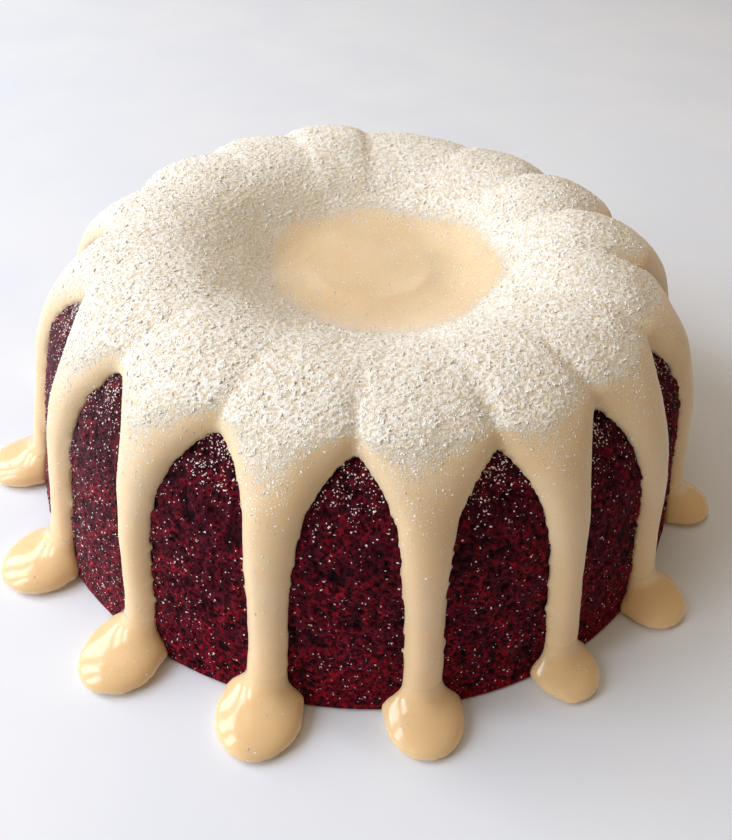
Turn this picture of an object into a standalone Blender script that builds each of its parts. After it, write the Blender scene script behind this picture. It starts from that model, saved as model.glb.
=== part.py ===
"""A whole red velvet cake under a poured cream coat.

Two solids: the sponge, a tapered round cake with a shallow dish in its top, and the cream,
one coat that fills the dish, covers the shoulder in lobes, and runs down the side in a drip
from each lobe to a puddle at the foot. Metres, +Z up, origin at the centre of the flat base.
"""

from math import asin, atan2, cos, hypot, pi, radians, sin, sqrt

import bmesh
import bpy
from mathutils import Vector, noise

MM = 0.001

# The sponge
BASE_RADIUS = 100 * MM
CREST_HEIGHT = 69.5 * MM
WALL_DRAFT = 0.2  # how far the wall leans in for each metre of height
SHOULDER_RADIUS = 34 * MM
DISH_FLOOR_RADIUS = 20 * MM
DISH_RIM_RADIUS = 56 * MM
DISH_DEPTH = 13.5 * MM
BASE_EDGE = 2 * MM
CRUMB_DEPTH = 1.1 * MM
CRUMB_SIZE = 7 * MM
CRUMB_MEAN = 0.45  # how deep the crumb lies on average, and how far it swings, as shares
CRUMB_SWING = 0.6  # of CRUMB_DEPTH
CRUMB_START = 8 * MM  # how far the crumb's relief begins under the cream's edge
CRUMB_FADE = 6 * MM  # and how far it takes to reach its full depth

# The cream
GAP = 0.45 * MM  # between the sponge and the cream, which are faceted apart
POOL_THICKNESS = 6.5 * MM
COAT_THICKNESS = 4.0 * MM
DRIP_THICKNESS = 3.1 * MM
VALLEY_LENGTH = 27 * MM  # how far a valley between two lobes runs in from its notch
VALLEY_DEPTH = 0.5  # share of the coat's thickness that the valley loses by then
LOBE_FULLNESS = 0.85  # a power: under 1 makes a lobe's cross-section squarer than a sine
LIP = 1.6 * MM  # the rounded rim of the cream at a notch
NOTCH_RADIUS = 74.5 * MM
ARCH_LENGTH = 22 * MM  # from a notch down to where the drips run straight
ARCH_POWER = 2.3  # how bluntly the arch under a notch widens: 1 would be a plain V
ARCH_SPACING = 1.5  # a power that draws the arch's rows together near its notch
DRIP_END_HEIGHT = 8.5 * MM
DRIP_WAIST = 0.12  # share of its width that a drip loses half way down
DRIP_FLARE = 0.12  # share that it has more at its top, fading out over a third of its length

# The level rings of a puddle, from the end of its drip to the ground: height in millimetres,
# then how far it has grown from the drip to its full size, sideways and outwards.
PUDDLE_RINGS = (
    (7.2, 0.10, 0.16),
    (6.2, 0.30, 0.38),
    (5.2, 0.62, 0.66),
    (3.8, 0.88, 0.90),
    (2.2, 1.0, 1.0),
    (0.9, 0.99, 0.99),
    (0.0, 0.85, 0.9),
)

# Each lobe, anticlockwise from the left of the front. In degrees from +X: the notch at its
# start, and the middle of its drip and of its puddle. In millimetres: how far that notch
# reaches past NOTCH_RADIUS, half the drip's width, the puddle's radius and how far its middle
# is from the wall. Last, how many times as thick as the rest its coat swells.
LOBES = (
    (200.8, 215.2, 217.3, 1.5, 5.3, 11.8, 6.2, 1.0),
    (223.2, 236.5, 238.6, 2.2, 4.6, 11.6, 7.0, 1.05),
    (246.9, 258.9, 259.8, 1.4, 5.0, 11.9, 6.0, 1.0),
    (269.8, 280.9, 281.8, -0.4, 4.8, 11.2, 3.4, 0.95),
    (294.0, 303.4, 304.1, 0.6, 5.0, 9.7, 2.9, 1.1),
    (315.5, 324.4, 324.4, 0.6, 5.3, 10.8, 3.9, 1.0),
    (338.6, 346.2, 346.9, 1.8, 5.2, 10.2, 3.2, 1.35),
    (1.0, 11.0, 10.4, 0.6, 4.8, 10.6, 4.4, 1.5),
    (21.5, 32.4, 33.2, 1.2, 5.2, 10.0, 5.0, 1.4),
    (44.0, 54.6, 53.8, 0.4, 5.0, 11.2, 4.6, 1.15),
    (66.1, 80.2, 80.9, 0.8, 5.4, 11.8, 5.6, 0.9),
    (95.0, 106.0, 105.2, -0.6, 4.7, 10.3, 4.8, 1.3),
    (116.4, 126.6, 127.5, 1.2, 5.1, 11.1, 5.4, 0.95),
    (137.5, 149.0, 149.6, -0.4, 4.9, 9.9, 5.0, 0.9),
    (158.6, 169.0, 170.4, -2.5, 5.0, 10.7, 5.8, 0.9),
    (179.8, 190.4, 195.6, -2.2, 4.8, 11.2, 6.0, 0.8),
)

# How finely the solids are faceted
TRACE_STEPS = 60
CAP_ROWS = 10
ARCH_ROWS = 4
DRIP_ROWS = 5
TOP_COLUMNS = 8
UNDER_COLUMNS = 4
SPONGE_COLUMNS = 96
SPONGE_TOP_ROWS = 9
SPONGE_SIDE_ROWS = 11

CRUMB_RED = (0.16, 0.004, 0.010)
CREAM_BEIGE = (0.80, 0.62, 0.40)


def smoothstep(x):
    x = min(max(x, 0.0), 1.0)
    return x * x * (3 - 2 * x)


def lerp(a, b, share):
    return a + (b - a) * share


class Profile:
    """The sponge's outline from the axis, over the crest and down the wall, by its length."""

    def __init__(self):
        self.points = []
        self.lengths = [0.0]
        self._trace()
        for a, b in zip(self.points, self.points[1:]):
            self.lengths.append(self.lengths[-1] + hypot(b[0] - a[0], b[1] - a[1]))

    def _trace(self):
        lean = atan2(WALL_DRAFT, 1)
        arc_height = CREST_HEIGHT - SHOULDER_RADIUS
        arc_middle = BASE_RADIUS - WALL_DRAFT * arc_height - SHOULDER_RADIUS / cos(lean)
        for i in range(TRACE_STEPS):
            r = arc_middle * i / TRACE_STEPS
            rise = (r - DISH_FLOOR_RADIUS) / (DISH_RIM_RADIUS - DISH_FLOOR_RADIUS)
            depth = DISH_DEPTH * (1 + cos(pi * min(max(rise, 0.0), 1.0))) / 2
            self.points.append((r, CREST_HEIGHT - depth))
        for i in range(TRACE_STEPS):
            turn = lerp(pi / 2, lean, i / TRACE_STEPS)
            across = arc_middle + SHOULDER_RADIUS * cos(turn)
            self.points.append((across, arc_height + SHOULDER_RADIUS * sin(turn)))
        wall_top = arc_height + SHOULDER_RADIUS * sin(lean)
        for i in range(TRACE_STEPS + 1):
            z = wall_top * (1 - i / TRACE_STEPS)
            self.points.append((BASE_RADIUS - WALL_DRAFT * z, z))

    def length(self):
        return self.lengths[-1]

    def at(self, s):
        """The radius, the height and the outward normal's two parts at a length s."""
        s = min(max(s, 0.0), self.length())
        i = 0
        while i < len(self.lengths) - 2 and self.lengths[i + 1] < s:
            i += 1
        a, b = self.points[i], self.points[i + 1]
        step = self.lengths[i + 1] - self.lengths[i]
        share = (s - self.lengths[i]) / step
        along = ((b[0] - a[0]) / step, (b[1] - a[1]) / step)
        return lerp(a[0], b[0], share), lerp(a[1], b[1], share), -along[1], along[0]

    def length_at_radius(self, radius):
        """The length where the outline first reaches this radius."""
        return next(s for s, p in zip(self.lengths, self.points) if p[0] >= radius)

    def length_at_height(self, height):
        """The length where the wall comes down to this height."""
        outside = BASE_RADIUS - WALL_DRAFT * CREST_HEIGHT
        return next(
            s
            for s, p in zip(self.lengths, self.points)
            if p[1] <= height and p[0] > outside
        )

    def wall_radius(self, height):
        return self.at(self.length_at_height(height))[0]


PROFILE = Profile()


def polar(radius, angle, height):
    return Vector((radius * cos(angle), radius * sin(angle), height))


def above_sponge(s, angle, distance):
    """A point at this distance out of the sponge's smooth outline."""
    r, z, out_r, out_z = PROFILE.at(s)
    return polar(max(r + out_r * distance, 0.0), angle, z + out_z * distance)


def crown_thickness(s, notch, swell):
    """The cream's thickness along the middle of a lobe and its drip."""
    pool_end = PROFILE.length_at_radius(DISH_RIM_RADIUS)
    coat = COAT_THICKNESS * lerp(1.0, swell, smoothstep(2 * s / pool_end - 1))
    if s < pool_end:
        return lerp(POOL_THICKNESS, coat, smoothstep(s / pool_end))
    return lerp(coat, DRIP_THICKNESS, smoothstep((s - notch) / ARCH_LENGTH))


def valley_thickness(s, notch):
    """The cream's thickness on the line between two lobes, none at the notch."""
    if s >= notch:
        return 0.0
    crown = crown_thickness(s, notch, 1.0)
    near = 1 - smoothstep((notch - s) / VALLEY_LENGTH)
    lip = sqrt(max(1 - (1 - min((notch - s) / LIP, 1.0)) ** 2, 0.0))
    return crown * (1 - VALLEY_DEPTH * near) * lip


class Lobe:
    """One lobe of the cream with its drip and puddle. Sides are 0, at its start, and 1."""

    def __init__(self, row, after):
        start, drip, foot, reach, half_width, puddle, offset, self.swell = row
        self.notch_angle = [radians(start), radians(after[0])]
        if self.notch_angle[1] < self.notch_angle[0]:
            self.notch_angle[1] += 2 * pi
        self.drip_angle = radians(drip)
        self.foot_angle = radians(foot)
        self.half_width = half_width * MM
        self.puddle_radius = puddle * MM
        self.puddle_offset = offset * MM
        self.notch = [self.notch_length(reach), self.notch_length(after[3])]

    @staticmethod
    def notch_length(reach):
        return PROFILE.length_at_radius(NOTCH_RADIUS) + reach * MM

    def drip_middle(self, s):
        """The angle and half the width of the drip at a length s."""
        top = max(self.notch) + ARCH_LENGTH
        end = PROFILE.length_at_height(DRIP_END_HEIGHT)
        down = (s - top) / (end - top)
        waist = 1 - DRIP_WAIST * sin(pi * min(max(down, 0.0), 1.0))
        flare = 1 + DRIP_FLARE * (1 - smoothstep(3 * down))
        wide = self.half_width * waist * flare
        return lerp(self.drip_angle, self.foot_angle, smoothstep(down)), wide

    def edge(self, side, row):
        """The length and the angle of one side of the lobe at a row below the cap."""
        notch = self.notch[side]
        sign = -1 if side == 0 else 1
        if row <= ARCH_ROWS:
            down = (row / ARCH_ROWS) ** ARCH_SPACING
            s = notch + ARCH_LENGTH * down
            spread = 1 - (1 - down) ** ARCH_POWER
        else:
            end = PROFILE.length_at_height(DRIP_END_HEIGHT)
            s = lerp(notch + ARCH_LENGTH, end, (row - ARCH_ROWS) / DRIP_ROWS)
            spread = 1.0
        middle, wide = self.drip_middle(s)
        drip_edge = middle + sign * wide / PROFILE.at(s)[0]
        return s, lerp(self.notch_angle[side], drip_edge, spread)

    def across(self, s_sides, angle_sides, column, top):
        """The length and the angle of one column of a row, on the top closer near its sides."""
        share = column / UNDER_COLUMNS
        if top:
            share = (1 - cos(pi * column / TOP_COLUMNS)) / 2
        return lerp(*s_sides, share), lerp(*angle_sides, share)


def cap_length(notch, row):
    """The length of a row of the cap, the last but one a lip's width short of the notch."""
    if row == CAP_ROWS:
        return notch
    return (notch - LIP) * row / (CAP_ROWS - 1)


class CreamBuilder:
    """Builds the cream as one closed mesh, lobe by lobe, on shared lines between the lobes."""

    def __init__(self):
        self.mesh = bmesh.new()
        self.lobes = [
            Lobe(row, LOBES[(i + 1) % len(LOBES)]) for i, row in enumerate(LOBES)
        ]
        self.shared = {}

    def vertex(self, key, place):
        """The vertex with this key, made the first time that it is asked for."""
        if key not in self.shared:
            self.shared[key] = self.mesh.verts.new(place)
        return self.shared[key]

    def face(self, corners):
        ring = [v for i, v in enumerate(corners) if v != corners[i - 1]]
        if len(ring) > 2:
            self.mesh.faces.new(ring)

    def strip(self, upper, lower, outward):
        """Faces between two rows of vertices, turned by which side of the cream they are on."""
        for i in range(len(upper) - 1):
            corners = [upper[i], lower[i], lower[i + 1], upper[i + 1]]
            self.face(corners if outward else corners[::-1])

    def cap_row(self, i, row, top):
        """One row of the cap over lobe i, on the top or on the underside."""
        lobe, columns = self.lobes[i], TOP_COLUMNS if top else UNDER_COLUMNS
        s_sides = [cap_length(notch, row) for notch in lobe.notch]
        found = []
        for column in range(columns + 1):
            s, angle = lobe.across(s_sides, lobe.notch_angle, column, top)
            notch = lerp(*lobe.notch, column / columns)
            valley = valley_thickness(s, notch)
            arch = sin(pi * column / columns) ** LOBE_FULLNESS
            crown = crown_thickness(s, notch, lobe.swell)
            thick = lerp(valley, crown, arch) if top else 0.0
            key = (i, row, column, top)
            if column in (0, columns):
                line = (i + (column == columns)) % len(self.lobes)
                key = ("line", line, row, top or row == CAP_ROWS)
            if row == 0:
                key, thick = ("axis", top), POOL_THICKNESS if top else 0.0
            found.append(self.vertex(key, above_sponge(s, angle, GAP + thick)))
        return found

    def drip_row(self, i, row, top):
        """One row of a drip, whose two ends are shared by its top and its underside."""
        lobe, columns = self.lobes[i], TOP_COLUMNS if top else UNDER_COLUMNS
        sides = [lobe.edge(side, row) for side in (0, 1)]
        s_sides, angle_sides = zip(*sides)
        found = []
        for column in range(columns + 1):
            s, angle = lobe.across(s_sides, angle_sides, column, top)
            crown = crown_thickness(s, lerp(*lobe.notch, column / columns), lobe.swell)
            thick = crown * sin(pi * column / columns) if top else 0.0
            end = column in (0, columns)
            key = (i, "drip", row, column > 0) if end else (i, "drip", row, column, top)
            found.append(self.vertex(key, above_sponge(s, angle, GAP + thick)))
        return found

    @staticmethod
    def puddle_rings(lobe):
        """Height, reach past the wall, sideways and outward radius of each ring of a puddle."""
        for height, wide, out in PUDDLE_RINGS:
            across = lerp(lobe.half_width, lobe.puddle_radius, wide)
            yield height * MM, lobe.puddle_offset * out, across, lerp(
                DRIP_THICKNESS, lobe.puddle_radius, out
            )

    def ring(self, i, number, shape, top):
        """One half of a level ring of a puddle: its free side, or its side along the wall."""
        lobe, columns = self.lobes[i], TOP_COLUMNS if top else UNDER_COLUMNS
        height, middle, wide, out = shape
        past = asin(middle / out)
        inner = PROFILE.wall_radius(height) + GAP
        found = []
        for column in range(columns + 1):
            share = column / columns
            turn = (pi + past) - (pi + 2 * past) * share
            side, reach = wide * cos(turn), max(middle + out * sin(turn), 0.0)
            if not top:
                side, reach = -wide * cos(past) * (1 - 2 * share), 0.0
            end = column in (0, columns)
            key = (i, "ring", number, column > 0 if end else (column, top))
            angle = lobe.foot_angle + atan2(side, inner + reach)
            found.append(self.vertex(key, polar(inner + reach, angle, height)))
        return found

    def lobe_faces(self, i):
        lines = {}
        for top in (True, False):
            rows = [self.cap_row(i, row, top) for row in range(CAP_ROWS + 1)]
            rows += [self.drip_row(i, row, top) for row in range(1, ARCH_ROWS + DRIP_ROWS + 1)]
            shapes = enumerate(self.puddle_rings(self.lobes[i]))
            rows += [self.ring(i, number, shape, top) for number, shape in shapes]
            for upper, lower in zip(rows, rows[1:]):
                self.strip(upper, lower, outward=top)
            lines[top] = rows[-1]
        base = lines[True] + lines[False][-2:0:-1]
        self.face(base[::-1])

    def build(self):
        for i in range(len(self.lobes)):
            self.lobe_faces(i)
        self.mesh.normal_update()
        return self.mesh


def crumb_relief(place):
    """How far the crumb sits inside the smooth outline at a place, never outside it."""
    roughness, lacunarity, octaves = 0.6, 2.1, 3
    value = noise.fractal(place / CRUMB_SIZE, roughness, lacunarity, octaves)
    return CRUMB_DEPTH * min(max(CRUMB_MEAN + CRUMB_SWING * value, 0.0), 1.0)


def sponge_mesh():
    """The sponge's outline spun about the axis, then roughened where the crumb is bare."""
    bare = PROFILE.length_at_radius(NOTCH_RADIUS) - CRUMB_START
    edge = PROFILE.length_at_height(BASE_EDGE)
    outline = [bare * i / SPONGE_TOP_ROWS for i in range(SPONGE_TOP_ROWS)]
    outline += [lerp(bare, edge, i / SPONGE_SIDE_ROWS) for i in range(SPONGE_SIDE_ROWS + 1)]
    points = [PROFILE.at(s)[:2] for s in outline]
    foot_radius = PROFILE.wall_radius(0.0) - BASE_EDGE / 2
    points += [(foot_radius, 0.0), (0.0, 0.0)]

    mesh = bmesh.new()
    verts = [mesh.verts.new((r, 0, z)) for r, z in points]
    edges = [mesh.edges.new(pair) for pair in zip(verts, verts[1:])]
    bmesh.ops.spin(
        mesh,
        geom=verts + edges,
        axis=(0, 0, 1),
        angle=2 * pi,
        steps=SPONGE_COLUMNS,
        use_merge=True,
    )
    bmesh.ops.remove_doubles(mesh, verts=mesh.verts, dist=0.01 * MM)
    shoulder = PROFILE.at(bare)[0]
    for v in mesh.verts:
        radius = hypot(v.co.x, v.co.y)
        if radius > shoulder and v.co.z > 0.1 * MM:
            # The relief fades in under the cream's edge and runs in towards the axis.
            fade = smoothstep((radius - shoulder) / CRUMB_FADE)
            inward = Vector((v.co.x, v.co.y, 0)).normalized()
            v.co -= inward * crumb_relief(v.co) * fade
    bmesh.ops.recalc_face_normals(mesh, faces=mesh.faces)
    return mesh


def material(name, colour, roughness):
    made = bpy.data.materials.new(name)
    made.use_nodes = True
    shader = made.node_tree.nodes["Principled BSDF"]
    shader.inputs["Base Color"].default_value = (*colour, 1)
    shader.inputs["Roughness"].default_value = roughness
    shader.inputs["Metallic"].default_value = 0.0
    made.diffuse_color = (*colour, 1)
    return made


def place(name, built, finish):
    """An object made of a finished bmesh, smooth but for its real corners."""
    data = bpy.data.meshes.new(name)
    built.to_mesh(data)
    built.free()
    data.shade_smooth()
    data.set_sharp_from_angle(angle=radians(50))
    data.materials.append(finish)
    made = bpy.data.objects.new(name, data)
    bpy.context.scene.collection.objects.link(made)
    return made


def main():
    for old in list(bpy.data.objects):
        bpy.data.objects.remove(old)
    place("sponge", sponge_mesh(), material("red_velvet_crumb", CRUMB_RED, 0.85))
    place("cream", CreamBuilder().build(), material("poured_cream", CREAM_BEIGE, 0.35))


main()
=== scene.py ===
# %% [markdown]
# # A red velvet cake under poured cream
#
# The real thing is a deep round sponge, dyed dark red, with a shallow dish in its top. Sweet
# cream was poured into the dish until it ran over the shoulder in lobes, down the side in drips
# and out into a puddle under each drip. Milk powder was sifted over it while it was still wet.
#
# The solids are already modelled and packed, so this script starts from them. They fix every
# size and place, and everything below is the surface: crumb, cream and powder.

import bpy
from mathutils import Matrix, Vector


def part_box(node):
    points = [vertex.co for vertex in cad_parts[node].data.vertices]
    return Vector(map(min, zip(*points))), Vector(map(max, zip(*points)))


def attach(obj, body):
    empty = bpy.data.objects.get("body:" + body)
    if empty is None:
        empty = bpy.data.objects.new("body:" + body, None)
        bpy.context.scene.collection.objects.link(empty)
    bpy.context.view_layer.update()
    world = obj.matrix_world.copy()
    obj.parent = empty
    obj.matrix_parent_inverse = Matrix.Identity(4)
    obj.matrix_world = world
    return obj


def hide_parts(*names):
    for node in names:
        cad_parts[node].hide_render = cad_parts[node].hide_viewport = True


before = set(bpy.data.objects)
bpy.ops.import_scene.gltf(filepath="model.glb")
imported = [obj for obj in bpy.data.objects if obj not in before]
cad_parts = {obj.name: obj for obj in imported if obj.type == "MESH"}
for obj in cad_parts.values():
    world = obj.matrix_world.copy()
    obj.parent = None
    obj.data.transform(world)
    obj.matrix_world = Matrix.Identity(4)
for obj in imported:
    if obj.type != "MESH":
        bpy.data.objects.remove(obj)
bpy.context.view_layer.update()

# %% Imports and two helpers
from math import atan2, cos, pi, radians, sin

import bpy
import numpy as np
from mathutils import Matrix, Vector
from mathutils.bvhtree import BVHTree

MM = 0.001


def only(piece=None):
    """Deselects everything, then selects this piece, if any, and makes it the active one."""
    bpy.ops.object.select_all(action="DESELECT")
    if piece:
        piece.select_set(True)
        bpy.context.view_layer.objects.active = piece


def triangles(piece):
    """How many triangles a piece is made of."""
    piece.data.calc_loop_triangles()
    return len(piece.data.loop_triangles)


only()
print("Blender", bpy.app.version_string)

# %% [markdown]
# ## The view
#
# The photograph looks down on the cake from close by. Its viewpoint was worked out from the
# notches between the lobes and the ends of the drips, which have known places on the solids. A
# phone held 27 cm away and turned a few degrees about its own axis fits them all. Blender's lens
# goes with the long side of the picture, so a focal length in pixels becomes one in millimetres.

# %% Camera
PHOTO_HEIGHT = 840
FOCAL_PIXELS = 820
VIEW_CENTRE = Vector((1.48, 0, 4.17)) * MM
VIEW_DISTANCE = 270.9 * MM
VIEW_ELEVATION = radians(43.37)
VIEW_ROLL = radians(4.48)

tilt = Matrix.Rotation(pi / 2 - VIEW_ELEVATION, 4, "X") @ Matrix.Rotation(VIEW_ROLL, 4, "Z")
towards_camera = tilt.to_3x3() @ Vector((0, 0, 1))
bpy.ops.object.camera_add()
camera = bpy.context.object
camera.name = "photo_view"
camera.data.lens = camera.data.sensor_width * FOCAL_PIXELS / PHOTO_HEIGHT
camera.data.clip_start = 10 * MM
camera.matrix_world = Matrix.Translation(VIEW_CENTRE + towards_camera * VIEW_DISTANCE) @ tilt
bpy.context.scene.camera = camera
print("camera at", [round(x, 4) for x in camera.location], "lens", round(camera.data.lens, 1))

# %% [markdown]
# ## Materials
#
# A small function adds a node with its settings and its links, so that a material reads from top
# to bottom like a recipe. Patterns are given in real millimetres: a Noise or Voronoi texture in
# object coordinates has about one feature per unit at scale 1, so a feature of s metres needs a
# scale of 1 / s.

# %% Material helpers
def linear(hex_colour):
    """An sRGB hex colour as the linear red, green, blue and alpha that Blender works in."""
    channels = [int(hex_colour[i : i + 2], 16) / 255 for i in (1, 3, 5)]
    return [c / 12.92 if c <= 0.04045 else ((c + 0.055) / 1.055) ** 2.4 for c in channels] + [1]


def new_material(name):
    """A material with its node tree and the Principled shader in it."""
    made = bpy.data.materials.new(name)
    made.use_nodes = True
    return made, made.node_tree, made.node_tree.nodes["Principled BSDF"]


def add(tree, kind, settings=None, **links):
    """Adds a node. Settings are its properties. Each link names an input, or is i and its number,
    and gives it a value or another node's socket."""
    node = tree.nodes.new(kind)
    for key, value in (settings or {}).items():
        setattr(node, key, value)
    for key, value in links.items():
        numbered = key[0] == "i" and key[1:].isdigit()
        socket = node.inputs[int(key[1:]) if numbered else key.replace("_", " ")]
        if isinstance(value, bpy.types.NodeSocket):
            tree.links.new(value, socket)
        else:
            socket.default_value = value
    return node


def noise(tree, place, size, detail=3):
    """A noise of features of this size in metres, from 0 to 1."""
    node = add(tree, "ShaderNodeTexNoise", Vector=place, Scale=1 / size, Detail=detail)
    return node.outputs["Fac"]


def ramp(tree, value, low, high, out_low=0.0, out_high=1.0):
    """A value mapped smoothly from one range to another, and held at its ends."""
    settings = {"interpolation_type": "SMOOTHSTEP"}
    ends = {"From_Min": low, "From_Max": high, "To_Min": out_low, "To_Max": out_high}
    return add(tree, "ShaderNodeMapRange", settings, Value=value, **ends).outputs["Result"]


def blend_colours(tree, share, first, second):
    """One colour blended into another. Each is a hex colour or a socket."""
    node = tree.nodes.new("ShaderNodeMix")
    node.data_type = "RGBA"
    for index, value in ((0, share), (6, first), (7, second)):
        if isinstance(value, str):
            node.inputs[index].default_value = linear(value)
        elif isinstance(value, bpy.types.NodeSocket):
            tree.links.new(value, node.inputs[index])
        else:
            node.inputs[index].default_value = value
    return node.outputs[2]


def times(tree, first, second, operation="MULTIPLY"):
    """Two values multiplied, or joined by another operation."""
    return add(tree, "ShaderNodeMath", {"operation": operation}, i0=first, i1=second).outputs[0]


def bump(tree, height, depth):
    """Bumps whose height runs from 0 to this depth in metres."""
    return add(tree, "ShaderNodeBump", Height=height, Distance=depth, Strength=1.0).outputs["Normal"]


def attribute(tree, name):
    """A value that the mesh carries at each point."""
    return add(tree, "ShaderNodeAttribute", {"attribute_name": name}).outputs["Fac"]


print("the hex grey #808080 is", round(linear("#808080")[0], 3), "of white in linear light")

# %% [markdown]
# ### Red velvet crumb
#
# A baked sponge dyed with red colour and cocoa. It has no skin here: the tin pulled it off, so
# the surface is open crumb, a net of thin walls round pores of about a millimetre. Their pits
# are painted nearly black, as painted shade. The walls are a dull purple-red, painted lit or
# dark from crumb to crumb as painted light and shade, and where the light goes through a thin
# wall it glows red, which a little subsurface scattering gives. Crumb is dry and hardly shines,
# or it would look grey. The foot of the cake lay against the tin's bottom, and is finer and more
# crimson. Towards the cream the crumb is painted darker, as painted shade under the lobes. The
# large pores are real ones in the mesh. One attribute says how deep each point lies in one, and
# deepens the painted shade of the pits, and another, dust, how much of the finest powder has
# settled there. A breath of it greys the whole left side, and painted window light makes that
# side paler as well.

# %% Red velvet crumb
PORE = 1.0 * MM
CRUMB = 1.1 * MM
PATCH = 7 * MM
DUST_GRAIN = 0.6 * MM
CRIMSON_FOOT = (6 * MM, 24 * MM)
SHADE_UNDER_CREAM = (34 * MM, 60 * MM)
PALER_LEFT_DUST_AND_LIGHT = (-30 * MM, -95 * MM)
CRUMB_RELIEF = 0.6 * MM
GLOW = 1.2 * MM

velvet, tree, shader = new_material("red_velvet_crumb")
place = add(tree, "ShaderNodeTexCoord").outputs["Object"]
along = add(tree, "ShaderNodeSeparateXYZ", Vector=place).outputs
pore_shade_depth, dust = attribute(tree, "pore_shade_depth"), attribute(tree, "dust")
patches = noise(tree, place, PATCH, detail=4)
crumbs = noise(tree, place, CRUMB, detail=3)
cells = add(tree, "ShaderNodeTexVoronoi", {"feature": "F1"}, Vector=place, Scale=1 / PORE)
walls = ramp(tree, cells.outputs["Distance"], 0.08, 0.6)
lit_wall = blend_colours(tree, ramp(tree, patches, 0.4, 0.62), "#6A1121", "#961425")
lit_wall = blend_colours(tree, ramp(tree, along["Z"], *CRIMSON_FOOT, 0.8, 0.0), lit_wall, "#9A0D23")
# Painted shade: towards the top the crumb is painted darker, where the lobes of cream shade it.
lit_wall = blend_colours(tree, ramp(tree, along["Z"], *SHADE_UNDER_CREAM, 0.0, 0.45), lit_wall, "#3C0A16")
# Painted light and shade: from crumb to crumb, a noise paints each wall either lit or dark.
lit_and_shaded_crumb = blend_colours(tree, ramp(tree, crumbs, 0.36, 0.66), "#330E1D", lit_wall)
# Painted shade: the middles of the Voronoi cells and the deep points of the real pores are painted nearly
# black.
pore_shade_blend = times(tree, ramp(tree, walls, 0, 1, 0.35, 1.0), ramp(tree, pore_shade_depth, 0.4, 0.95, 1.0, 0.06))
colour = blend_colours(tree, pore_shade_blend, "#14030A", lit_and_shaded_crumb)
settled = ramp(tree, times(tree, noise(tree, place, DUST_GRAIN, detail=2), dust, "ADD"), 1.68, 1.8)
colour = blend_colours(tree, settled, colour, "#DDD4D6")
# Partly dust and partly painted window light: towards the left the crumb is painted paler and greyer.
colour = blend_colours(tree, ramp(tree, along["X"], *PALER_LEFT_DUST_AND_LIGHT, 0.0, 0.06), colour, "#D8BEC6")
relief = times(tree, times(tree, walls, 0.6), times(tree, crumbs, 0.4), "ADD")
tree.links.new(colour, shader.inputs["Base Color"])
tree.links.new(bump(tree, relief, CRUMB_RELIEF), shader.inputs["Normal"])
shader.inputs["Roughness"].default_value = 0.8
shader.inputs["Specular IOR Level"].default_value = 0.08
shader.inputs["Subsurface Weight"].default_value = 0.15
shader.inputs["Subsurface Radius"].default_value = (1.0, 0.1, 0.12)
shader.inputs["Subsurface Scale"].default_value = GLOW
print("material", velvet.name)

# %% [markdown]
# ### Poured cream
#
# Sweetened milk cream, poured warm: dense and smooth, so light enters it, scatters a few
# millimetres and comes out warmer. Low down, where it has run together in the puddles, a painted
# warm light makes it look like honey; higher up, where it is a thin coat, it is paler, so the
# colour follows the height. So does the gloss: the puddles are still wet up to their necks, and
# above them the coat has begun to set and grows nearly matt. A breath of powder on everything
# makes the rims of the drips paler, which the shader's sheen does. Powder finer than the eye can
# part lies in the skin wherever the attribute cover is high, pale and matt.

# %% Poured cream
SKIN_GRAIN = 0.42 * MM
SKIN_RELIEF = 0.12 * MM
CREAM_CLOUD = 22 * MM
PAINTED_WARMTH_LOW = (2 * MM, 60 * MM)
PUDDLE_NECK = (7 * MM, 14 * MM)
SETTING_COAT = (14 * MM, 60 * MM)
LIGHT_DEPTH = 2.6 * MM

cream_finish, tree, shader = new_material("poured_cream")
place = add(tree, "ShaderNodeTexCoord").outputs["Object"]
height = add(tree, "ShaderNodeSeparateXYZ", Vector=place).outputs["Z"]
cover = attribute(tree, "cover")
clouds = noise(tree, place, CREAM_CLOUD, detail=2)
# Painted warm light: low down, in the puddles, the cream is painted warmer and more honey-coloured.
painted_warmth = ramp(tree, height, *PAINTED_WARMTH_LOW, 1.0, 0.0)
body = blend_colours(tree, ramp(tree, clouds, 0.35, 0.65), "#EACDA0", "#EFD6AD")
body = blend_colours(tree, painted_warmth, body, "#F8D4A0")
specks = noise(tree, place, SKIN_GRAIN, detail=1)
needed = times(tree, 1.0, times(tree, cover, 0.8), "SUBTRACT")
dusty = ramp(tree, times(tree, specks, needed, "SUBTRACT"), -0.05, 0.1)
dusty = times(tree, dusty, ramp(tree, cover, 0.02, 0.12))
neck = ramp(tree, height, *PUDDLE_NECK, 0.15, 0.31)
matt = times(tree, neck, ramp(tree, height, *SETTING_COAT, 0.0, 0.19), "ADD")
tree.links.new(blend_colours(tree, dusty, body, "#F1ECDF"), shader.inputs["Base Color"])
tree.links.new(times(tree, matt, times(tree, dusty, 0.5), "ADD"), shader.inputs["Roughness"])
tree.links.new(bump(tree, times(tree, specks, dusty), SKIN_RELIEF), shader.inputs["Normal"])
shader.inputs["Specular IOR Level"].default_value = 0.5
shader.inputs["Subsurface Weight"].default_value = 0.4
shader.inputs["Subsurface Radius"].default_value = (1.0, 0.6, 0.28)
shader.inputs["Subsurface Scale"].default_value = LIGHT_DEPTH
shader.inputs["Sheen Weight"].default_value = 0.45
shader.inputs["Sheen Roughness"].default_value = 0.45
print("material", cream_finish.name)

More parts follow.
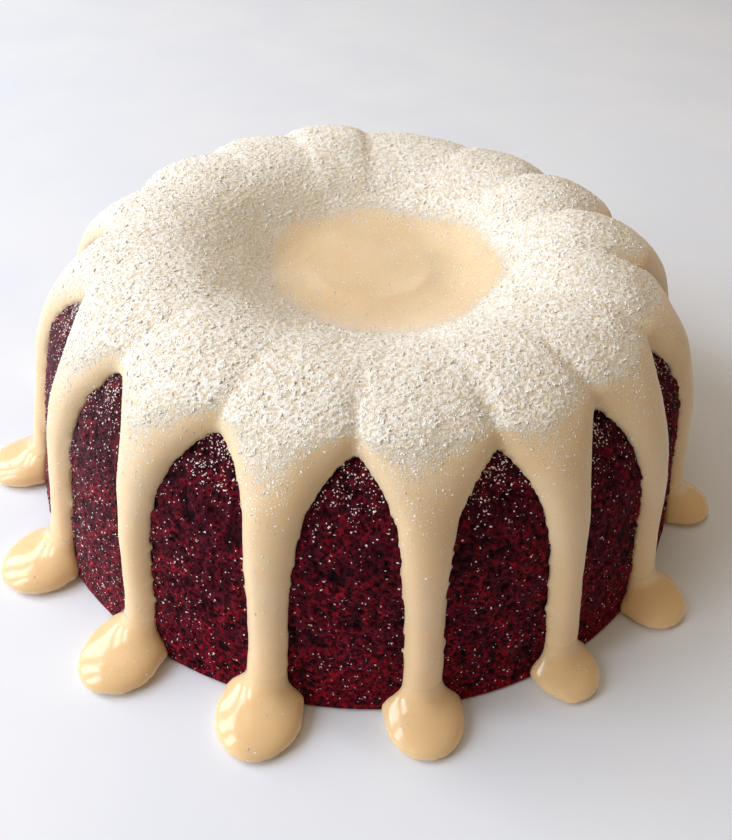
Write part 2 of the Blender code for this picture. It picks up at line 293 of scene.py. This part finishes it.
# %% [markdown]
# ### Milk powder
#
# Dried milk is a warm off-white and perfectly matt. It holds air, so it looks brighter than the
# cream under it. Low in the crust the powder has drunk from the cream and turned beige, grain by
# grain, and that beige is also painted shade between the clumps; only what stands up is white.
# The attribute lift says how high a point stands, and loose grains, which lie on top, carry 1. It
# has no subsurface scattering: in grains this small that lie half in the cream, the light would
# be lost and they would turn grey.

# %% Milk powder
GRAIN = 0.36 * MM
GRAIN_RELIEF = 0.2 * MM
TONE = 1.4 * MM

powder_finish, tree, shader = new_material("milk_powder")
place = add(tree, "ShaderNodeTexCoord").outputs["Object"]
tone = noise(tree, place, TONE, detail=2)
grains = noise(tree, place, GRAIN, detail=2)
dry = blend_colours(tree, ramp(tree, tone, 0.3, 0.7), "#FCF8EF", "#FFFEFA")
uneven = times(tree, times(tree, grains, 0.5, "SUBTRACT"), 1.6)
# Soaked powder and painted shade: the low places of the crust are painted a darker beige.
soaked_and_shaded = ramp(tree, times(tree, attribute(tree, "lift"), uneven, "ADD"), 0.3, 0.64, 1.0, 0.0)
tree.links.new(blend_colours(tree, soaked_and_shaded, dry, "#E2D3B4"), shader.inputs["Base Color"])
tree.links.new(bump(tree, grains, GRAIN_RELIEF), shader.inputs["Normal"])
shader.inputs["Roughness"].default_value = 0.95
shader.inputs["Specular IOR Level"].default_value = 0.1
print("material", powder_finish.name)

# %% [markdown]
# ## The sponge
#
# The sponge is a turned shape, so it is spun from its outline like a bowl on a wheel: a wall that
# leans in, and a round shoulder that disappears under the cream. The rows are close together
# only where the crumb is bare. Spinning gives even faces all round, which the pores need. The
# pores are then pressed in with Displace modifiers, from coarse to fine, each with its own
# texture: soft lumps, open pores, and a fine roughness.

# %% Spin the sponge
BASE_RADIUS = 100 * MM
WALL_DRAFT = 0.2
SHOULDER_RADIUS = 34 * MM
CREST_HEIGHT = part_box("sponge")[1].z
FOOT_ROUND = 1.6 * MM
WALL_ROWS = 66
SHOULDER_ROWS = 34
SHOULDER_END = radians(68)
HIDDEN_TOP = CREST_HEIGHT - 14 * MM
SPONGE_COLUMNS = 900


def wall_point(z):
    """A point of the wall at a height, in the plane of the outline."""
    foot = max(0.0, 1 - z / FOOT_ROUND)
    return BASE_RADIUS - WALL_DRAFT * z - FOOT_ROUND * (1 - (1 - foot**2) ** 0.5), z


def sponge_outline():
    """Points from the axis at the foot, up the wall and over the shoulder to under the cream."""
    lean = atan2(WALL_DRAFT, 1)
    middle_z = CREST_HEIGHT - SHOULDER_RADIUS
    middle_r = BASE_RADIUS - WALL_DRAFT * middle_z - SHOULDER_RADIUS / cos(lean)
    wall_top = middle_z + SHOULDER_RADIUS * sin(lean)
    points = [(0.0, 0.0), (0.8 * BASE_RADIUS, 0.0)]
    points += [wall_point(wall_top * i / WALL_ROWS) for i in range(WALL_ROWS)]
    for i in range(SHOULDER_ROWS + 1):
        turn = lean + (SHOULDER_END - lean) * i / SHOULDER_ROWS
        points.append((middle_r + SHOULDER_RADIUS * cos(turn), middle_z + SHOULDER_RADIUS * sin(turn)))
    return points + [(0.6 * middle_r, HIDDEN_TOP), (0.0, HIDDEN_TOP)]


outline = sponge_outline()
bpy.ops.mesh.primitive_plane_add(size=MM)
sponge = bpy.context.object
sponge.name = "sponge_crumb"
bpy.ops.object.mode_set(mode="EDIT")
bpy.ops.mesh.select_all(action="SELECT")
bpy.ops.mesh.merge(type="CENTER")
for (r, z), (next_r, next_z) in zip(outline, outline[1:]):
    step = (next_r - r, 0, next_z - z)
    bpy.ops.mesh.extrude_region_move(TRANSFORM_OT_translate={"value": step})
bpy.ops.mesh.select_all(action="SELECT")
bpy.ops.mesh.spin(steps=SPONGE_COLUMNS, angle=2 * pi, center=(0, 0, 0), axis=(0, 0, 1))
bpy.ops.mesh.select_all(action="SELECT")
bpy.ops.mesh.remove_doubles(threshold=0.005 * MM)
bpy.ops.mesh.normals_make_consistent(inside=False)
bpy.ops.object.mode_set(mode="OBJECT")
print("sponge spun:", triangles(sponge), "triangles")

# %% [markdown]
# ### Pores
#
# A Displace modifier moves each point along its normal by a texture's brightness. Voronoi is
# dark at the middle of each cell, so with its mid level at 1 it digs one round pit per cell and
# leaves walls between them. A lower level, as here, lets the walls stand out as well. A vertex
# group keeps the base flat and the hidden top plain. Powder that missed the cream lies on the
# crumb close under it and on the left side.

# %% Helpers for relief and for values at each point
WEIGHT_STEPS = 50


def displace_texture(name, kind, size, **settings):
    """One of Blender's own displacement textures, with features of this size in metres."""
    texture = bpy.data.textures.new(name, kind)
    texture.noise_scale = size
    for key, value in settings.items():
        setattr(texture, key, value)
    return texture


def displace(piece, texture, strength, mid_level, group=""):
    """Displaces a piece along its normals and applies it."""
    modifier = piece.modifiers.new("relief", "DISPLACE")
    modifier.texture = texture
    modifier.texture_coords = "LOCAL"
    modifier.strength = strength
    modifier.mid_level = mid_level
    modifier.vertex_group = group
    only(piece)
    bpy.ops.object.modifier_apply(modifier=modifier.name)


def points_of(piece):
    """A piece's points and normals, each as an array with a row per vertex."""
    count = len(piece.data.vertices)
    points, normals = np.empty(count * 3), np.empty(count * 3)
    piece.data.vertices.foreach_get("co", points)
    piece.data.vertex_normals.foreach_get("vector", normals)
    return points.reshape(-1, 3), normals.reshape(-1, 3)


def smoothstep(value, low, high):
    """0 below low, 1 above high and a smooth rise between them."""
    share = np.clip((value - low) / (high - low), 0, 1)
    return share * share * (3 - 2 * share)


def paint(piece, name, values):
    """Keeps one value per vertex as an attribute, for materials and for scattering."""
    kept = piece.data.attributes.get(name) or piece.data.attributes.new(name, "FLOAT", "POINT")
    kept.data.foreach_set("value", np.asarray(values, np.float32))


def weight(piece, name, values):
    """Makes a vertex group from one weight per vertex, rounded to a few steps for speed."""
    group = piece.vertex_groups.new(name=name)
    steps = np.round(np.clip(values, 0, 1) * WEIGHT_STEPS).astype(int)
    for step in range(1, WEIGHT_STEPS + 1):
        found = np.nonzero(steps == step)[0]
        if len(found):
            group.add(found.tolist(), step / WEIGHT_STEPS, "REPLACE")


# %% Press the pores into the crumb
LUMP_SIZE, LUMP_DEPTH = 5 * MM, 1.5 * MM
PORE_SIZE, PORE_DEPTH = 1.9 * MM, 1.2 * MM
FINE_SIZE, FINE_DEPTH = 1.1 * MM, 0.7 * MM
DUSTED_TOP = (50 * MM, 63 * MM)
DUSTED_LEFT = (20 * MM, 92 * MM)

points, normals = points_of(sponge)
out_of_axis = np.hypot(points[:, 0], points[:, 1])
bare_crumb = smoothstep(points[:, 2], 0.5 * MM, 3 * MM) * smoothstep(out_of_axis, 66 * MM, 74 * MM)
weight(sponge, "bare", bare_crumb)
smooth_points = points.copy()
lumps = displace_texture("lumps", "CLOUDS", LUMP_SIZE, noise_depth=2)
displace(sponge, lumps, LUMP_DEPTH, 0.6, "bare")
displace(sponge, displace_texture("pores", "VORONOI", PORE_SIZE), PORE_DEPTH, 0.75, "bare")
displace(sponge, displace_texture("fine_pores", "VORONOI", FINE_SIZE), FINE_DEPTH, 0.65, "bare")
points, normals = points_of(sponge)
depth = np.linalg.norm(smooth_points - points, axis=1) * np.sign(
    np.hypot(smooth_points[:, 0], smooth_points[:, 1]) - np.hypot(points[:, 0], points[:, 1])
)
paint(sponge, "pore_shade_depth", smoothstep(depth, -0.2 * MM, 1.4 * MM))
near_cream = smoothstep(points[:, 2], *DUSTED_TOP)
left = smoothstep(-points[:, 0], *DUSTED_LEFT)
dusted = bare_crumb * (0.08 + (0.7 + 0.25 * left) * near_cream**1.3 + 0.27 * left)
paint(sponge, "dust", dusted)
sponge.data.materials.append(velvet)
only(sponge)
bpy.ops.object.shade_smooth()
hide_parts("sponge")
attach(sponge, "root")
print("crumb depth from", round(depth.min() / MM, 2), "to", round(depth.max() / MM, 2), "mm")

# %% [markdown]
# ## The cream
#
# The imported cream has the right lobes, drips and puddles, in coarse facets. A copy of it is
# merged, rounded by subdivision and rebuilt by a Remesh modifier in even faces of a millimetre,
# so that it flows without a seam from the pool to the puddles. Subdivision would also draw in
# the edge where the cream meets the crumb, so that edge is creased first and keeps its place.
# The puddles have no crease and are smoothed once more, as the most liquid part. Then the
# underside is pushed down into the sponge. The solids have to stay apart, but real cream soaks
# in, and its edge should meet the crumb with no gap.

# %% Round the cream
FLAT_PAIR = radians(40)
SHARP_EDGE = radians(60)
PUDDLE_TOP = 10 * MM


def apply(piece, kind, **settings):
    """Adds a modifier with these settings and applies it."""
    modifier = piece.modifiers.new(kind.lower(), kind)
    for key, value in settings.items():
        setattr(modifier, key, value)
    only(piece)
    bpy.ops.object.modifier_apply(modifier=modifier.name)


cream = bpy.data.objects.new("cream_coat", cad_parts["cream"].data.copy())
bpy.context.scene.collection.objects.link(cream)
cream.data.materials.clear()
only(cream)
bpy.ops.object.mode_set(mode="EDIT")
bpy.ops.mesh.select_all(action="SELECT")
bpy.ops.mesh.remove_doubles(threshold=0.001 * MM)
bpy.ops.mesh.tris_convert_to_quads(face_threshold=FLAT_PAIR, shape_threshold=FLAT_PAIR)
bpy.ops.mesh.select_mode(type="EDGE")
bpy.ops.mesh.select_all(action="DESELECT")
bpy.ops.mesh.edges_select_sharp(sharpness=SHARP_EDGE)
bpy.ops.transform.edge_crease(value=1)
bpy.ops.object.mode_set(mode="OBJECT")
creases = cream.data.attributes["crease_edge"].data
for edge in cream.data.edges:
    if min(cream.data.vertices[v].co.z for v in edge.vertices) < PUDDLE_TOP:
        creases[edge.index].value = 0
apply(cream, "SUBSURF", levels=2, render_levels=2)
print("cream rounded:", triangles(cream), "triangles")


# %% Set the cream down on the crumb and rebuild it
SOAK = 2.0 * MM
SOAK_REACH = 2.5 * MM
FACE = 1.15 * MM
PUDDLE_FADE = (6 * MM, 16 * MM)
SMOOTHINGS = 5
PUDDLE_SMOOTHINGS = 14


def nearest(points, solid):
    """For each point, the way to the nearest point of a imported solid, as an array of vectors."""
    tree = BVHTree.FromPolygons(
        [v.co for v in solid.data.vertices], [p.vertices for p in solid.data.polygons]
    )
    return np.array([tree.find_nearest(Vector(p))[0] for p in points]) - points


points, normals = points_of(cream)
to_sponge = nearest(points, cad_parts["sponge"])
distance = np.linalg.norm(to_sponge, axis=1)
facing = np.einsum("ij,ij->i", normals, to_sponge / np.maximum(distance, 1e-9)[:, None])
under = smoothstep(facing, 0.1, 0.8) * (distance < SOAK_REACH)
points += normals * (SOAK * under)[:, None]
points[:, 2] = np.maximum(points[:, 2], 0)
cream.data.vertices.foreach_set("co", points.ravel())
apply(cream, "REMESH", mode="VOXEL", voxel_size=FACE)
apply(cream, "SMOOTH", factor=0.5, iterations=SMOOTHINGS)
points, normals = points_of(cream)
weight(cream, "puddles", 1 - smoothstep(points[:, 2], *PUDDLE_FADE))
apply(cream, "SMOOTH", factor=0.5, iterations=PUDDLE_SMOOTHINGS, vertex_group="puddles")
print("cream rebuilt:", triangles(cream), "triangles")

# %% [markdown]
# ### Uneven flow and the ring in the pool
#
# Poured cream is never even. A broad, shallow Displace gives it the slight swells of a liquid
# that set as it ran. In the pool a low ring marks where the last of the stream sank in, and it
# is clearest on the near side, where it catches the light.

# %% Swells and the ring in the pool
SWELL = 16 * MM
SWELL_HEIGHT = 1.1 * MM
RING_CENTRE = Vector((-1.0, 3.0)) * MM
RING_RADIUS = 17 * MM
RING_WIDTH = 1.9 * MM
RING_HEIGHT = 0.35 * MM
LOWEST_POOL = 60 * MM

swells = displace_texture("swells", "CLOUDS", SWELL, noise_depth=1, noise_basis="IMPROVED_PERLIN")
displace(cream, swells, SWELL_HEIGHT, 0.5)
points, normals = points_of(cream)
across = points[:, :2] - np.array(RING_CENTRE)
from_ring = np.hypot(across[:, 0], across[:, 1]) - RING_RADIUS
angle = np.arctan2(across[:, 1], across[:, 0])
near_side = 0.25 + 0.75 * smoothstep(np.cos(angle + radians(75)), -0.1, 0.7)
in_pool = (points[:, 2] > LOWEST_POOL) & (normals[:, 2] > 0.5)
points[:, 2] += RING_HEIGHT * np.exp(-((from_ring / RING_WIDTH) ** 2)) * near_side * in_pool
points[:, 2] = np.maximum(points[:, 2], 0)
cream.data.vertices.foreach_set("co", points.ravel())
cream.data.update()
print("cream from", round(points[:, 2].min() / MM, 1), "to", round(points[:, 2].max() / MM, 1), "mm high")

# %% [markdown]
# ### Where the powder lies
#
# Sifted powder falls nearly straight down, here from a little to the left. It stays on what is
# level, thins out as the lobes turn down, sooner on the right, and only flecks the drips and
# puddles. It was sifted before the last spoonful of cream, so the pool is bare, with a soft
# edge. One function says this for any point and normal, and both the cream and the powder
# itself use it.

# %% The powder's cover
BARE_CENTRE = Vector((3.3, -1.5)) * MM
BARE_RADIUS = 30.5 * MM
POOL_EDGE = (-7 * MM, 5 * MM)
SIFTED_FROM = np.array((-0.28, 0, 0.96))
STEEP_TO_LEVEL = (0.43, 0.94)
LOWEST_COVER = 40 * MM


def powder_cover(points, normals):
    """The share of the surface that powder covers, from 0 to 1, at each point."""
    across = points[:, :2] - np.array(BARE_CENTRE)
    angle = np.arctan2(across[:, 1], across[:, 0])
    wobble = 1.0 * np.sin(3 * angle + 0.6) + 0.8 * np.sin(7 * angle + 2.0)
    from_edge = np.hypot(across[:, 0], across[:, 1]) - BARE_RADIUS - wobble * MM
    off_pool = smoothstep(from_edge, *POOL_EDGE) ** 1.6
    level = smoothstep(normals @ SIFTED_FROM, *STEEP_TO_LEVEL)
    return off_pool * level * (points[:, 2] > LOWEST_COVER)


points, normals = points_of(cream)
cover = powder_cover(points, normals)
outside = np.einsum("ij,ij->i", nearest(points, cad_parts["sponge"]), normals) < 0
paint(cream, "cover", cover * outside)
cream.data.materials.append(cream_finish)
only(cream)
bpy.ops.object.shade_smooth()
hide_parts("cream")
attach(cream, "root")
print("powder covers", round(float((cover * outside).mean()), 3), "of the cream's points")

# %% [markdown]
# ## The crust of powder
#
# Where the powder is thick it is no longer single grains but a rough white crust. Its mesh is a
# copy of the cream's own skin, cut twice as fine. One Displace lifts it by a fine noise and a
# second sinks it by the share that stays bare, so it breaks up into islands and disappears into
# the cream where the cover thins, with no drawn edge.

# %% Raise the crust
CRUST_HEIGHT = 0.7 * MM
CLUMP = 0.5 * MM
THINNEST_COVER = 0.05
STANDING = (-0.1 * MM, 0.35 * MM)

lifted = cover * outside > THINNEST_COVER
only(cream)
bpy.ops.object.mode_set(mode="EDIT")
bpy.ops.mesh.select_mode(type="FACE")
bpy.ops.mesh.select_all(action="DESELECT")
bpy.ops.object.mode_set(mode="OBJECT")
for polygon in cream.data.polygons:
    polygon.select = all(lifted[v] for v in polygon.vertices)
bpy.ops.object.mode_set(mode="EDIT")
bpy.ops.mesh.duplicate()
bpy.ops.mesh.separate(type="SELECTED")
bpy.ops.object.mode_set(mode="OBJECT")
crust = next(o for o in bpy.context.selected_objects if o != cream)
crust.name = "powder_crust"
# The copy also carries what was said of the cream, which is not true of the powder.
for key in list(crust.keys()):
    del crust[key]
only(crust)
bpy.ops.object.mode_set(mode="EDIT")
bpy.ops.mesh.select_all(action="SELECT")
bpy.ops.mesh.subdivide(number_cuts=1, smoothness=0)
bpy.ops.object.mode_set(mode="OBJECT")
print("crust:", triangles(crust), "triangles")
points, normals = points_of(crust)
share = powder_cover(points, normals)
weight(crust, "bare", 1 - share**0.75)
displace(crust, displace_texture("clumps", "CLOUDS", CLUMP, noise_depth=1), CRUST_HEIGHT, 0.3)
displace(crust, None, -CRUST_HEIGHT, 0.0, "bare")
raised, normals = points_of(crust)
lift = np.einsum("ij,ij->i", raised - points, normals)
paint(crust, "lift", smoothstep(lift, *STANDING))
crust.data.materials.clear()
crust.data.materials.append(powder_finish)
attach(crust, "root")

# %% [markdown]
# ## Loose powder
#
# On top of the crust lie clumps and single grains, and outside it fine grains and flecks, so the
# powder thins out speck by speck. Each kind is one grain, modelled once as a rough little solid
# of a few faces, and strewn by Geometry Nodes: points are scattered on the faces of the crust,
# the cream and the crumb as densely as an attribute says. A copy is put on each, lying flat but
# tipped a little, turned and scaled at random. The copies are realized, so that they are plain
# mesh when the modifier is applied.

# %% Model the grains
GRAIN_DEPTH = 0.34 * MM
CLUMP_PARTS = ((0, 0, 0.1), (0.5, 0.1, -0.05), (-0.2, 0.45, 0.05), (0.1, -0.4, -0.05))


def rough_solid(name, sides, jitter, seed):
    """A small pyramid, one millimetre across, with its corners pushed about."""
    bpy.ops.mesh.primitive_cone_add(vertices=sides, radius1=MM / 2, depth=GRAIN_DEPTH)
    grain = bpy.context.object
    grain.name = name
    bpy.ops.object.mode_set(mode="EDIT")
    bpy.ops.mesh.select_all(action="SELECT")
    bpy.ops.transform.vertex_random(offset=jitter * MM, uniform=1, seed=seed)
    bpy.ops.object.mode_set(mode="OBJECT")
    bpy.ops.object.shade_smooth()
    grain.data.materials.append(powder_finish)
    paint(grain, "lift", np.ones(len(grain.data.vertices)))
    return grain


single = rough_solid("grain", 4, 0.12, 1)
fine = rough_solid("fine_grain", 3, 0.06, 2)
parts = []
for i, offset in enumerate(CLUMP_PARTS):
    parts.append(rough_solid(f"part_{i}", 4, 0.16, 5 + i))
    parts[-1].location = Vector(offset) * MM
only(parts[0])
for part in parts:
    part.select_set(True)
bpy.ops.object.transform_apply(location=True)
bpy.ops.object.join()
clump = bpy.context.object
clump.name = "clump"
print("faces of a grain, a fine grain and a clump:", [triangles(o) for o in (single, fine, clump)])


# %% A scatterer of Geometry Nodes
TIP = 0.35


def random_value(tree, kind, low, high, seed):
    """A random value for each point, a number or a vector."""
    node = tree.nodes.new("FunctionNodeRandomValue")
    node.data_type = kind
    lowest, highest = [i for i in node.inputs if i.enabled][:2]
    lowest.default_value, highest.default_value = low, high
    node.inputs["Seed"].default_value = seed
    return next(o for o in node.outputs if o.enabled)


def strew(name, carriers, per_mm2, grain, smallest, largest, seed):
    """Copies of a grain on the carriers, as dense as their attribute strewn says, in one piece."""
    tree = bpy.data.node_groups.new(name, "GeometryNodeTree")
    tree.interface.new_socket("Geometry", in_out="OUTPUT", socket_type="NodeSocketGeometry")
    joined = tree.nodes.new("GeometryNodeJoinGeometry")
    for carrier in carriers:
        solid = add(tree, "GeometryNodeObjectInfo", Object=carrier)
        tree.links.new(solid.outputs["Geometry"], joined.inputs[0])
    share = add(tree, "GeometryNodeInputNamedAttribute", {"data_type": "FLOAT"}, Name="strewn")
    density = times(tree, share.outputs["Attribute"], per_mm2 / MM**2)
    points = add(
        tree,
        "GeometryNodeDistributePointsOnFaces",
        {"distribute_method": "RANDOM"},
        Mesh=joined.outputs[0],
        Density=density,
        Seed=seed,
    )
    lying = points.outputs["Rotation"]
    tip = random_value(tree, "FLOAT_VECTOR", (-TIP, -TIP, 0), (TIP, TIP, 2 * pi), seed + 1)
    turned = tree.nodes.new("FunctionNodeRotateRotation")
    turned.rotation_space = "LOCAL"
    tree.links.new(lying, turned.inputs["Rotation"])
    tree.links.new(tip, turned.inputs["Rotate By"])
    copies = add(
        tree,
        "GeometryNodeInstanceOnPoints",
        Points=points.outputs["Points"],
        Instance=add(tree, "GeometryNodeObjectInfo", Object=grain).outputs["Geometry"],
        Rotation=turned.outputs["Rotation"],
        Scale=random_value(tree, "FLOAT", smallest, largest, seed + 2),
    )
    plain = add(tree, "GeometryNodeRealizeInstances", Geometry=copies.outputs["Instances"])
    output = tree.nodes.new("NodeGroupOutput")
    tree.links.new(plain.outputs[0], output.inputs[0])

    bpy.ops.mesh.primitive_plane_add(size=MM)
    piece = bpy.context.object
    piece.name = name
    apply(piece, "NODES", node_group=tree)
    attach(piece, "root")
    print(name, triangles(piece), "triangles")


# %% Strew the powder
# The crust carries most of the powder, and the cream takes over where the crust has sunk in. On
# the crumb, flecks catch on the walls that stand out.
paint(crust, "strewn", smoothstep(lift, -0.05 * MM, 0.15 * MM))
points, normals = points_of(cream)
level = smoothstep(normals @ SIFTED_FROM, 0.1, 0.7)
fringe = cover**0.7 * (1 - cover) * 1.8
flecks = 0.06 + 0.24 * level * smoothstep(points[:, 2], 30 * MM, 60 * MM)
off_ground = smoothstep(points[:, 2], 1.5 * MM, 3 * MM)
paint(cream, "strewn", (fringe + flecks) * outside * off_ground * (1 - smoothstep(cover, 0.9, 1.0)))
on_walls = smoothstep(-depth, -0.7 * MM, 0.3 * MM)
paint(sponge, "strewn", dusted * (0.3 + 1.4 * on_walls))

# After the carriers: the most copies per square millimetre, the grain, its smallest and largest
# size in millimetres, and a seed.
strew("powder_clumps", [crust], 0.42, clump, 0.4, 0.8, 11)
strew("powder_grains", [crust], 1.2, single, 0.35, 0.8, 21)
strew("powder_fines", [crust, cream], 2.0, fine, 0.3, 0.55, 31)
strew("powder_flecks", [cream], 1.3, single, 0.45, 1.05, 51)
strew("powder_on_crumb", [sponge], 2.7, single, 0.3, 0.9, 41)
for grain in (single, fine, clump):
    bpy.data.objects.remove(grain)

# %% [markdown]
# ## Stage and lights
#
# The cake stands on a plain pale floor. The light is a row of tall windows on the left. It is
# made of three panes with gaps between them, because wet cream mirrors it: one large lamp would
# leave a blank patch on each puddle, and panes leave the streaks of a window. A soft light from
# the ceiling, a little to the left and back, opens the top. The room gives back a little warm
# light, so the shaded right side turns honey-brown, not grey.

# %% The floor
MOTTLE = 60 * MM

bpy.ops.mesh.primitive_plane_add(size=6)
floor = bpy.context.object
floor.name = "floor"
floor_finish, tree, shader = new_material("pale_laminate")
place = add(tree, "ShaderNodeTexCoord").outputs["Object"]
mottle = ramp(tree, noise(tree, place, MOTTLE, detail=4), 0.3, 0.7)
tree.links.new(blend_colours(tree, mottle, "#ECF3FE", "#F1F7FF"), shader.inputs["Base Color"])
shader.inputs["Roughness"].default_value = 0.5
floor.data.materials.append(floor_finish)
print("material", floor_finish.name)

# %% The window, the ceiling and the room
PANE_WIDTH = 0.31
PANE_HEIGHT = 1.24
WINDOW = Vector((-1.27, -0.13, 0.78))
PANE_STEP = 0.55
PANE_POWER = 10.4
CEILING = (-0.3, 0.35, 1.2)
CEILING_SIZE = 1.0
CEILING_POWER = 4.2
ROOM_LIGHT = 0.25
TARGET = Vector((0, 0, 0.04))


def lamp(name, place, width, height, power, colour):
    """A rectangular soft light at a place, turned to the cake, in metres and watts."""
    bpy.ops.object.light_add(type="AREA", location=place)
    light = bpy.context.object
    light.name = name
    light.data.shape = "RECTANGLE"
    light.data.size, light.data.size_y = width, height
    light.data.energy = power
    light.data.color = linear(colour)[:3]
    light.rotation_euler = (TARGET - Vector(place)).to_track_quat("-Z", "Y").to_euler()


sideways = Vector((WINDOW.y, -WINDOW.x, 0)).normalized()
for i in (-1, 0, 1):
    pane_place = WINDOW + sideways * PANE_STEP * i
    lamp(f"pane_{i + 2}", pane_place, PANE_WIDTH, PANE_HEIGHT, PANE_POWER, "#EEF4FF")
lamp("ceiling", CEILING, CEILING_SIZE, CEILING_SIZE, CEILING_POWER, "#FFF6E8")
world = bpy.data.worlds.new("room")
bpy.context.scene.world = world
world.use_nodes = True
world.node_tree.nodes["Background"].inputs["Color"].default_value = linear("#FFE0B8")
world.node_tree.nodes["Background"].inputs["Strength"].default_value = ROOM_LIGHT
bpy.context.scene.view_settings.view_transform = "Standard"
